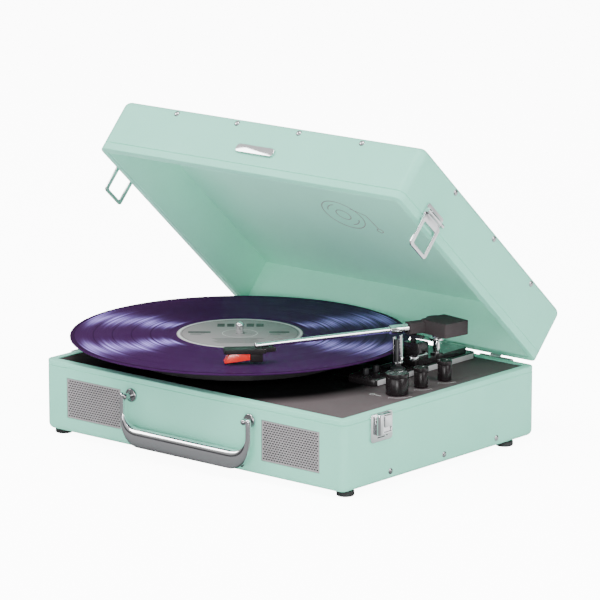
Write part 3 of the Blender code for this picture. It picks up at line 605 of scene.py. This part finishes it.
# The handle: a cast bail with a thick grip and thin arms, chromed. It hangs on two
# turned posts that are screwed through the front wall.
handle_place = Vector(joints["handle_hinge"]["pos_m"])
handle_drop = 0.0348
arm_x = 0.073
bend = 0.021
arm_size = 0.0023
grip_depth = 0.0062
grip_height = 0.0087
sides = 32
bend_steps = 16
squareness = 0.75
# A station is the middle of a cross-section in X and Z, then its half depth and half height.
stations = []
for lean in (85, 65, 45, 25, 0):
    size = arm_size * math.cos(math.radians(lean))
    stations.append((arm_x, 0.0008 + arm_size * math.sin(math.radians(lean)), size, size))
stations.append((arm_x, -0.006, arm_size, arm_size))
for step in range(bend_steps + 1):
    share = step / bend_steps
    angle = math.radians(90) * share
    swell = share ** 2 * (3 - 2 * share)
    stations.append((arm_x - bend + bend * math.cos(angle), -handle_drop + bend - bend * math.sin(angle),
                     arm_size + (grip_depth - arm_size) * swell, arm_size + (grip_height - arm_size) * swell))
stations += [(x, -handle_drop, grip_depth, grip_height) for x in (0.040, 0.020)]
stations += [(-x, z, depth, tall) for x, z, depth, tall in reversed(stations)]
bm = bmesh.new()
rings = []
for index, (x, z, depth, tall) in enumerate(stations):
    before = stations[max(index - 1, 0)]
    after = stations[min(index + 1, len(stations) - 1)]
    across = Vector((before[1] - after[1], 0.0, after[0] - before[0])).normalized()
    ring = []
    for step in range(sides):
        angle = math.tau * step / sides
        u, v = (math.copysign(abs(part) ** squareness, part) for part in (math.cos(angle), math.sin(angle)))
        ring.append(bm.verts.new(Vector((x, 0.0, z)) + across * (u * tall) + Vector((0.0, v * depth, 0.0))))
    rings.append(ring)
for pair in zip(rings, rings[1:]):
    spans = [span for ring in pair for span in zip(ring, [ring[-1], *ring])]
    bmesh.ops.bridge_loops(bm, edges=[bm.edges.get(span) or bm.edges.new(span) for span in spans])
for ring in (rings[0], rings[-1]):
    bm.faces.new(ring)
pins = []
for sign in (-1, 1):
    pin = turned([(0.0, -0.0026), (0.0016, -0.0026), (0.0016, 0.0026), (0.0, 0.0026)], 24)
    lying = Matrix.Translation((sign * 0.0702, 0, 0)) @ Matrix.Rotation(math.radians(90), 4, "Y")
    pins.append(placed(pin, lying))
bm = placed(gathered([bm, *pins]), Matrix.Translation((case_middle.x, handle_place.y, handle_place.z)))
finished("handle_grip", bm, chrome, "handle", ["handle_bail"], angle=60.0)

flange = [(0.0, 0.0019), (0.0030, 0.0018), *arc_points(0.0048, 0.0004, 0.0014, 90, 0, 6), (0.0062, 0.0),
          (0.0, 0.0)]
for side in ("left", "right"):
    low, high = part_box("handle_post_" + side)
    root = ((low.x + high.x) / 2, high.y, (low.z + high.z) / 2)
    reach = high.y - low.y
    stem = [(0.0, reach), *arc_points(0.0002, reach - 0.0024, 0.0024, 90, 0, 8), (0.0026, 0.0), (0.0, 0.0)]
    lug = gathered([stood(turned(stem, 40), root, forwards), stood(turned(flange, 48), root, forwards)])
    finished("handle_lug_" + side, lug, rivet_plate, "case", ["handle_post_" + side])


# The grilles: thin steel sheet punched with staggered slots, painted silver grey,
# set in the front windows with a black cone speaker behind each.
def moulded(name, colour, roughness, speck=1800.0, depth=0.00003, coat=0.0, gloss=0.5):
    """Moulded plastic or paint with a fine texture and faint marks."""
    material, tree, shader, place = blank_material(name)
    wear = add(tree, "Group", node_tree=handling, vector=place, marks_per_metre=45.0).outputs
    paler = [min(1.0, part * 1.25 + 0.006) for part in colour]
    cast = mixed(tree, product(tree, wear["Smudge"], 0.35), colour, paler)
    texture = add(tree, "TexNoise", vector=place, scale=speck, detail=2.0)
    bump = add(tree, "Bump", strength=0.4, distance=depth, height=texture.outputs["Fac"])
    fill(tree, shader, base_color=mixed(tree, product(tree, wear["Dust"], 0.25), cast, (0.35, 0.35, 0.34)),
         roughness=ranged(tree, wear["Smudge"], 0.0, 1.0, roughness, min(1.0, roughness + 0.10)),
         normal=bump.outputs["Normal"], coat_weight=coat, coat_roughness=0.08, specular_ior_level=gloss)
    return material


grille_paint = moulded("grille_paint", (0.290, 0.272, 0.282), 0.45, 900.0, gloss=0.3)
# A black dust cloth is glued behind each sheet.
cloth_black = moulded("cloth_black", (0.006, 0.006, 0.006), 0.9, 2600.0, 0.00006, gloss=0.1)
slot_pitch = 0.0030
row_pitch = 0.0021
slot_half = 0.00108
slot_tall = 0.00064


def punched_cell(bm, x, z, y):
    """One cell of the sheet with its slot, with corners shared by the rows above and below."""
    half = slot_pitch / 2
    outer = [(x, z), (x + half, z), (x + 2 * half, z), (x + 2 * half, z + row_pitch),
             (x + half, z + row_pitch), (x, z + row_pitch)]
    mid_x = x + half
    mid_z = z + row_pitch / 2
    slot = [(mid_x + sx * slot_half, mid_z + sz * slot_tall)
            for sx, sz in ((-1, -0.8), (0, -1), (1, -0.8), (1, 0.8), (0, 1), (-1, 0.8))]
    around = [bm.verts.new((px, y, pz)) for px, pz in outer]
    inside = [bm.verts.new((px, y, pz)) for px, pz in slot]
    for corner in range(6):
        after = (corner + 1) % 6
        bm.faces.new((around[corner], around[after], inside[after], inside[corner]))


def plain_patch(bm, x, z, width, y):
    corners = ((x, z), (x + width, z), (x + width, z + row_pitch), (x, z + row_pitch))
    bm.faces.new([bm.verts.new((px, y, pz)) for px, pz in corners])


for name in ("grille_left", "grille_right"):
    low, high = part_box(name)
    border = 0.0006
    columns = int((high.x - low.x - 2 * border) / slot_pitch)
    rows = int((high.z - low.z - 2 * border) / row_pitch)
    first_x = (low.x + high.x) / 2 - columns * slot_pitch / 2
    first_z = (low.z + high.z) / 2 - rows * row_pitch / 2
    last_x = first_x + columns * slot_pitch
    last_z = first_z + rows * row_pitch
    bm = bmesh.new()
    for row in range(rows):
        z = first_z + row * row_pitch
        shift = slot_pitch / 2 if row % 2 else 0.0
        if shift:
            plain_patch(bm, first_x, z, shift, low.y)
            plain_patch(bm, last_x - shift, z, shift, low.y)
        for column in range(columns - 1 if shift else columns):
            punched_cell(bm, first_x + shift + column * slot_pitch, z, low.y)
    bmesh.ops.remove_doubles(bm, verts=bm.verts, dist=1e-6)
    bmesh.ops.solidify(bm, geom=list(bm.faces), thickness=0.0005)
    deep = low.y + 0.0008
    strips = [box_shape((low.x, low.y, low.z), (high.x, deep, first_z)),
              box_shape((low.x, low.y, last_z), (high.x, deep, high.z)),
              box_shape((low.x, low.y, first_z), (first_x, deep, last_z)),
              box_shape((last_x, low.y, first_z), (high.x, deep, last_z))]
    finished(name + "_mesh", gathered([bm, *strips]), grille_paint, "case", [name])
    cloth = box_shape((low.x + 0.0002, low.y + 0.0009, low.z + 0.0002),
                      (high.x - 0.0002, high.y, high.z - 0.0002))
    finished(name + "_cloth", cloth, cloth_black, "case")

cone_paper = moulded("cone_paper", (0.012, 0.012, 0.013), 0.85, 500.0, 0.0001)
repainted(("speaker_left", "speaker_right"), cone_paper)


# The feet: turned black rubber discs with a rounded lower edge, each held up into
# a corner of the case's floor by a screw.
rubber = moulded("black_rubber", (0.018, 0.018, 0.019), 0.68, 1400.0, 0.00008)
for name in ("foot_front_left", "foot_front_right", "foot_rear_left", "foot_rear_right"):
    low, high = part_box(name)
    middle = (low + high) / 2
    radius = (high.x - low.x) / 2
    profile = [(0.0, 0.0), *arc_points(radius - 0.0014, 0.0014, 0.0014, -90, 0, 5), (radius, high.z - 0.0006),
               (radius - 0.0006, high.z), (0.0, high.z)]
    bm = stood(turned(profile), (middle.x, middle.y, 0.0))
    finished(name + "_turned", bm, rubber, "case", [name])


# The motor board: a satin charcoal moulding that drops into the case's rebate.
# Short silver arcs are printed on it beside the three knobs.
charcoal = moulded("charcoal_moulding", (0.088, 0.070, 0.074), 0.55, 2400.0, 0.00004, gloss=0.06)
# The deck is painted black in a disc round the spindle, out to about the record's edge, and fades to charcoal
# there: a painted shadow of the overhanging record.
tree = charcoal.node_tree
shader = tree.nodes["Principled BSDF"]
spindle_low, spindle_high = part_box("spindle")
centre = (spindle_low + spindle_high) / 2
record_shadow_reach = add(tree, "VectorMath", operation="DISTANCE", vector=add(tree, "TexCoord").outputs["Object"])
record_shadow_reach.inputs[1].default_value = (centre.x, centre.y, rim_z)
record_shadow_edge = ranged(tree, record_shadow_reach.outputs["Value"], 0.146, 0.172)
plain = shader.inputs["Base Color"].links[0].from_socket
# Painted shadow: black inside the record's reach, the moulding's own colour outside it.
fill(tree, shader, base_color=mixed(tree, record_shadow_edge, (0.004, 0.004, 0.004), plain))
eased("deck_plate", 0.0003, charcoal, "case")
white_print = ink("white_print", (0.62, 0.62, 0.62), 0.45)
print_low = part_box("deck_plate")[1].z - 0.00005
film = 0.0001
line = 0.0006
prints = []
for name in ("knob_volume", "knob_tone", "knob_source"):
    low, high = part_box(name)
    middle = ((low.x + high.x) / 2, (low.y + high.y) / 2)
    ring = (high.x - low.x) / 2 + 0.0035
    prints.append(arc_strip(middle, ring, line, print_low, film, 24, math.radians(-80), math.radians(85)))
    for turn in (-80, 5):
        reach = Vector((math.cos(math.radians(turn)), math.sin(math.radians(turn))))
        ends = [Vector(middle) + reach * radius for radius in (ring, ring + 0.0020)]
        prints.append(bar_strip(*ends, line, print_low, film))
mark = (case_middle.x + 0.129, case_middle.y - 0.041)
prints.append(arc_strip(mark, 0.0022, 0.0005, print_low, film, 24))
prints.append(bar_strip((mark[0] + 0.0035, mark[1]), (mark[0] + 0.0095, mark[1]), 0.0010, print_low, film))
finished("deck_print", gathered(prints), white_print, "case")


# The platter: an aluminium pressing painted satin black, under a ribbed rubber mat.
# The bearing, the belt and the motor below it keep their own shapes.
axle = (centre.x, centre.y, 0.0)
platter_black = moulded("platter_black", (0.016, 0.016, 0.017), 0.45, 1200.0)
eased("platter", 0.0004, platter_black, "turntable")
low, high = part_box("platter_mat")
mat_edge = (high.x - low.x) / 2
mat_hole = 0.0042
valley = high.z - 0.0006
profile = [(mat_hole, low.z), (mat_edge, low.z), (mat_edge, valley)]
ribs = 14
for rib in range(ribs):
    outer = mat_edge - 0.002 - rib * (mat_edge - 0.012) / ribs
    profile += [(outer, high.z), (outer - 0.0024, high.z), (outer - 0.0030, valley), (outer - 0.0040, valley)]
profile += [(mat_hole, valley), (mat_hole, low.z)]
finished("mat_ribbed", stood(turned(profile, 128), axle), rubber, "turntable", ["platter_mat"])

repainted(("spindle_bearing", "motor_pulley"), plated("turned_brass", (0.72, 0.52, 0.24), 0.22))
repainted(("circuit_board",), moulded("board_green", (0.03, 0.14, 0.07), 0.4, 600.0))
repainted(("motor", "control_bracket"), steel)
repainted(("drive_belt",), rubber)


# The record: pressed deep purple vinyl, its grooves cut in five bands with smooth gaps,
# and a grey paper label pressed into both faces.
record_low, record_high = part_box("record")
record_edge = (record_high.x - record_low.x) / 2
label_radius = 0.0565
record_top = record_high.z

grooves, start, end = effect_group(
    "record_grooves", {"Vector": "Vector"}, {"Normal": "Vector", "Cut": "Float", "Streak": "Float"})
flat = add(grooves, "VectorMath", operation="MULTIPLY", vector=start["Vector"])
flat.inputs[1].default_value = (1.0, 1.0, 0.0)
radius = add(grooves, "VectorMath", operation="LENGTH", vector=flat.outputs["Vector"]).outputs["Value"]
outward = add(grooves, "VectorMath", operation="NORMALIZE", vector=flat.outputs["Vector"])


def along_radius(per_metre, detail):
    """Noise that changes from groove to groove only."""
    return add(grooves, "TexNoise", noise_dimensions="1D", w=product(grooves, radius, per_metre), scale=1.0,
               detail=detail).outputs["Fac"]


groove_pitch = 0.00031
first_groove = 0.1465
last_groove = 0.0620
track_width = 0.0169
wave = maths(grooves, "SINE", product(grooves, radius, math.tau / groove_pitch))
loudness = ranged(grooves, along_radius(900.0, 3.0), 0.3, 0.7, 0.45, 1.0)
playing = product(grooves, maths(grooves, "GREATER_THAN", radius, last_groove),
                  maths(grooves, "LESS_THAN", radius, first_groove))
band = maths(grooves, "DIVIDE", maths(grooves, "SUBTRACT", radius, last_groove), track_width)
cut = product(grooves, playing, maths(grooves, "GREATER_THAN", maths(grooves, "FRACT", band), 0.055))
slope = product(grooves, wave, loudness, product(grooves, cut, 0.55))
lean = add(grooves, "VectorMath", operation="SCALE", vector=outward.outputs["Vector"], scale=slope)
raised = add(grooves, "VectorMath", operation="ADD", vector=lean.outputs["Vector"])
raised.inputs[1].default_value = (0.0, 0.0, 1.0)
unit = add(grooves, "VectorMath", operation="NORMALIZE", vector=raised.outputs["Vector"])
back_round = add(grooves, "VectorRotate", rotation_type="Z_AXIS", angle=azimuth,
                 vector=unit.outputs["Vector"])
world = add(grooves, "VectorTransform", vector_type="NORMAL", convert_from="OBJECT", convert_to="WORLD",
            vector=back_round.outputs["Vector"])
# Painted highlight: bright rays run out from the label, 27 degrees to either side of the view, and wander a
# little; they stand in for the shine on the grooves.
axes = add(grooves, "SeparateXYZ", vector=start["Vector"]).outputs
bearing = maths(grooves, "ABSOLUTE", maths(grooves, "ARCTAN2", axes["Y"], axes["X"]))
folded = maths(grooves, "PINGPONG", bearing, math.pi / 2)
swing = product(grooves, maths(grooves, "SUBTRACT", along_radius(55.0, 4.0), 0.5), 0.40)
off_ray = maths(grooves, "SUBTRACT", maths(grooves, "ADD", folded, swing), math.radians(27))
highlight_falloff = maths(grooves, "EXPONENT", product(grooves, off_ray, off_ray, -50.0))
highlight_patches = ranged(grooves, along_radius(420.0, 3.0), 0.35, 0.68, 0.15, 1.0)
fill(grooves, end, normal=world.outputs["Vector"], cut=cut, streak=product(grooves, highlight_falloff, highlight_patches, cut))


def vinyl(name, grooved):
    """Dark purple vinyl, plain or with its playing surface and the painted highlight rays on it."""
    material, tree, shader, place = blank_material(name)
    spread = Vector((centre.x, centre.y, 0.0))
    spread.rotate(Matrix.Rotation(-azimuth, 3, "Z"))
    centred = add(tree, "Mapping", vector=place, location=-spread, rotation=(0.0, 0.0, -azimuth))
    swirl = add(tree, "TexNoise", vector=place, scale=14.0, detail=4.0, distortion=0.8)
    colour = mixed(tree, swirl.outputs["Fac"], (0.030, 0.0085, 0.042), (0.044, 0.013, 0.066))
    if grooved:
        surface = add(tree, "Group", node_tree=grooves, vector=centred.outputs["Vector"]).outputs
        colour = mixed(tree, surface["Cut"], (0.022, 0.005, 0.030), colour)
        # Painted highlight: the rays lighten the vinyl to a pale purple.
        colour = mixed(tree, surface["Streak"], colour, (0.460, 0.330, 0.960))
        fill(tree, shader, normal=surface["Normal"])
    wear = add(tree, "Group", node_tree=handling, vector=place, marks_per_metre=20.0).outputs
    fill(tree, shader, base_color=mixed(tree, product(tree, wear["Dust"], 0.12), colour, (0.5, 0.5, 0.55)),
         roughness=ranged(tree, wear["Smudge"], 0.0, 1.0, 0.30, 0.38), specular_tint=(0.85, 0.45, 1.0),
         specular_ior_level=0.006)
    return material


plain_vinyl = vinyl("plain_vinyl", False)
groove_vinyl = vinyl("grooved_vinyl", True)
low = record_low.z
bead = 0.0010
centre_hole = 0.0038
vinyl_top = record_top - 0.0002
moat = record_top - 0.0004
profile = [(centre_hole, low), (record_edge - bead, low),
           *arc_points(record_edge - bead, low + bead, bead, -80, 80, 8), (record_edge - bead, record_top),
           (record_edge - 0.0035, vinyl_top), (label_radius + 0.0065, vinyl_top),
           (label_radius + 0.0055, moat), (label_radius, moat), (label_radius - 0.0003, vinyl_top),
           (centre_hole, vinyl_top), (centre_hole, low)]
record = finished("record_pressing", stood(turned(profile, 192), axle), plain_vinyl, "turntable",
                  ["record"])
record.data.materials.append(groove_vinyl)
for face in record.data.polygons:
    reach = Vector((face.center.x - centre.x, face.center.y - centre.y)).length
    if face.normal.z > 0.9 and label_radius + 0.006 < reach:
        face.material_index = 1


def paper(name, colour, roughness=0.6):
    """Matt printed paper with visible fibres."""
    material, tree, shader, place = blank_material(name)
    fibres = add(tree, "TexNoise", vector=place, scale=700.0, detail=6.0).outputs["Fac"]
    fill(tree, shader, base_color=mixed(tree, fibres, [part * 0.90 for part in colour], colour),
         normal=add(tree, "Bump", strength=0.3, distance=0.00003, height=fibres).outputs["Normal"],
         roughness=roughness)
    return material


label_paper = paper("label_paper", (0.225, 0.200, 0.207))
label_pale = paper("label_pale", (0.52, 0.52, 0.52))
label_ink = ink("label_ink", (0.03, 0.03, 0.032), 0.55)
label_top = vinyl_top + 0.00012
profile = [(centre_hole, vinyl_top), (centre_hole, label_top), (label_radius - 0.0005, label_top),
           (label_radius - 0.0003, vinyl_top), (centre_hole, vinyl_top)]
finished("record_label", stood(turned(profile, 128), axle), label_paper, "turntable")
label_face = vinyl_top + 0.00010
film = 0.00006
pale = [arc_strip(axle[:2], label_radius - 0.0022, 0.0022, label_face, film, 128),
        arc_strip(axle[:2], 0.0155, 0.0005, label_face, film, 64)]
finished("label_rings", gathered(pale), label_pale, "turntable")
# Rows of short printed bars stand for the credits. Each is its left end, its length and its width.
rows = [(-0.0205 + word * 0.0087, 0.031, 0.0066, 0.0120) for word in range(5)]
rows += [(-0.046, 0.004, 0.020, 0.0060), (0.026, 0.004, 0.018, 0.0060), (-0.044, -0.002, 0.013, 0.0012),
         (0.027, -0.002, 0.014, 0.0012), (-0.044, -0.0055, 0.010, 0.0012), (0.027, -0.0055, 0.009, 0.0012)]
bars = [bar_strip((x, y), (x + run, y), width, label_face, film) for x, y, run, width in rows]
for row in range(6):
    run = 0.024 - 0.0022 * (row % 3)
    y = -0.020 - row * 0.0034
    bars.append(bar_strip((-run, y), (run * (0.7 if row % 2 else 0.9), y), 0.0011, label_face, film))
bars.append(arc_strip((0.0, 0.0), label_radius - 0.0050, 0.0004, label_face, film, 128))
label_turn = Matrix.Translation(axle) @ Matrix.Rotation(azimuth, 4, "Z")
finished("label_print", placed(gathered(bars), label_turn), label_ink, "turntable")

tip = spindle_high.z
pin = (spindle_high.x - spindle_low.x) / 2
shoulder = rim_z - 0.0005
profile = [(0.0, spindle_low.z), (pin - 0.001, spindle_low.z), (pin - 0.001, shoulder), (pin, shoulder),
           (pin, tip - 0.004), *arc_points(0.0002, tip - 0.0033, pin - 0.0002, 0, 90, 8), (0.0, tip)]
finished("spindle_pin", stood(turned(profile, 48), axle), chrome, "turntable", ["spindle"])


# The arm's base: two stepped slabs of polished black moulding with the cue box on top,
# screwed through the motor board. The arm rest and the cue platform belong to it.
gloss_black = moulded("gloss_black", (0.013, 0.011, 0.012), 0.18, 700.0, 0.00002, coat=0.15, gloss=0.35)
satin_black = moulded("satin_black", (0.020, 0.020, 0.022), 0.34, 1500.0)
base = eased("arm_base", 0.0004, gloss_black, "case")
# The slabs' broad right-facing faces are painted silver grey: a painted reflection of the bright surroundings
# in the gloss black.
silver_strip = moulded("silver_strip", (0.40, 0.385, 0.395), 0.36, 900.0)
base.data.materials.append(silver_strip)
for face in base.data.polygons:
    if face.normal.x > 0.95 and face.area > 1.5e-5:
        face.material_index = 1
eased("arm_turret", 0.0006, gloss_black, "case")
eased("arm_rest", 0.0003, satin_black, "case")
eased("cue_platform", 0.0003, satin_black, "cue_platform")
eased("arm_fork", 0.0003, chrome, "case")
eased("pivot_post", 0.0002, chrome, "case")
eased("cue_lever", 0.0003, chrome, "cue_lever")
for name in ("speed_switch", "auto_stop_switch"):
    eased(name, 0.0003, satin_black, name)


# The tonearm: a drawn tube with a turned collar, set in a moulded bearing block that
# carries its own counterweight, and a plastic headshell with a ceramic cartridge.
pivot = Vector(joints["arm_swing"]["pos_m"])
arm_angle = math.radians(22.7)
arm_reach = 0.172
arm_frame = Matrix.Translation(pivot) @ Matrix.Rotation(-arm_angle, 4, "Z")
towards_head = Matrix.Rotation(math.radians(90), 4, "X")
block_black = moulded("block_black", (0.056, 0.046, 0.049), 0.60, 2000.0, 0.00005, gloss=0.01)
eased("arm_gimbal", 0.0003, chrome, "arm_carriage")
eased("arm_block", 0.0006, block_black, "tonearm")
repainted(("gimbal_pin",), steel)
tube = 0.0021
collar = 0.0040
profile = [(0.0, 0.0293), (collar, 0.0293), (collar, 0.0340), (0.0037, 0.0343), (0.0037, 0.0349),
           (collar, 0.0352), (collar, 0.0462), (0.0036, 0.0470), (0.0026, 0.0474), (0.0025, 0.0480),
           (tube, arm_reach - 0.004), (tube, arm_reach + 0.0055), (0.0016, arm_reach + 0.006),
           (0.0, arm_reach + 0.006)]
bm = placed(turned(profile, 48), arm_frame @ towards_head)
finished("arm_tube_drawn", bm, chrome, "tonearm", ["arm_tube"])
head_black = moulded("head_black", (0.016, 0.013, 0.014), 0.35, 1500.0, gloss=0.08)
eased("headshell", 0.0005, head_black, "tonearm")
eased("cartridge", 0.0005, head_black, "tonearm")


# The stylus is clear red plastic, a little cloudy.
red_plastic, tree, shader, place = blank_material("red_plastic")
cloud = add(tree, "TexNoise", vector=place, scale=300.0, detail=2.0)
red = (0.72, 0.022, 0.012)
thin_part = [min(1.0, part * 1.3) for part in red]
fill(tree, shader, base_color=mixed(tree, cloud.outputs["Fac"], red, thin_part), roughness=0.25,
     subsurface_weight=0.3, subsurface_radius=(0.004, 0.001, 0.001), coat_weight=0.4)
eased("stylus", 0.0003, red_plastic, "tonearm")


# The knobs: black caps pushed on the controls' shafts, moulded with a rolled lip
# at the top and a fine pale pointer let into it.
knob_black = moulded("knob_black", (0.010, 0.007, 0.008), 0.22, 900.0, 0.00001, gloss=0.25)
for name in ("knob_volume", "knob_tone", "knob_source"):
    low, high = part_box(name)
    shaft = ((low.x + high.x) / 2, (low.y + high.y) / 2, 0.0)
    top = high.z
    lip = (high.x - low.x) / 2
    skirt = lip - 0.0005
    foot = rim_z - 0.0004
    profile = [(0.0, low.z), (0.003, low.z), (0.003, foot), (skirt - 0.0006, foot),
               *arc_points(skirt - 0.0006, foot + 0.0006, 0.0006, -90, 0, 4), (skirt, top - 0.0045),
               (skirt - 0.0003, top - 0.0040), (lip, top - 0.0032),
               *arc_points(lip - 0.0010, top - 0.0010, 0.0010, 0, 90, 6), (lip - 0.0022, top),
               (lip - 0.0027, top - 0.0004), (0.0, top - 0.0004)]
    finished(name + "_cap", stood(turned(profile, 96), shaft), knob_black, name, [name])
    pointer = box_shape((-0.0003, lip * 0.30, top - 0.0005), (0.0003, lip - 0.0026, top - 0.0002))
    finished(name + "_pointer", stood(pointer, shaft), white_print, name)


# The sockets: a black panel let into the back wall, with two phono jacks, a round
# mains-adaptor inlet and a headphone jack, each with a plated ring.
eased("socket_plate", 0.0003, satin_black, "case")
low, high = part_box("socket_plate")
panel = high.y - 0.0002
phono = case_high.y + 0.0093
# Each socket's ring: X and Y of its place, bore, outer radius and rise.
jacks = [(-0.021, phono, 0.0018, 0.0044, 0.0006), (-0.008, phono, 0.0018, 0.0044, 0.0006),
         (0.006, panel, 0.0018, 0.0032, 0.0007), (0.020, panel, 0.0032, 0.0046, 0.0007)]
rings = []
for x, y, bore, rim, rise in jacks:
    ring = turned([(bore, 0.0), (rim, 0.0), (rim, rise), (bore, rise), (bore, 0.0)], 32)
    rings.append(stood(ring, (socket_x + x, y, socket_z), backwards))
finished("socket_rings", gathered(rings), steel, "case")
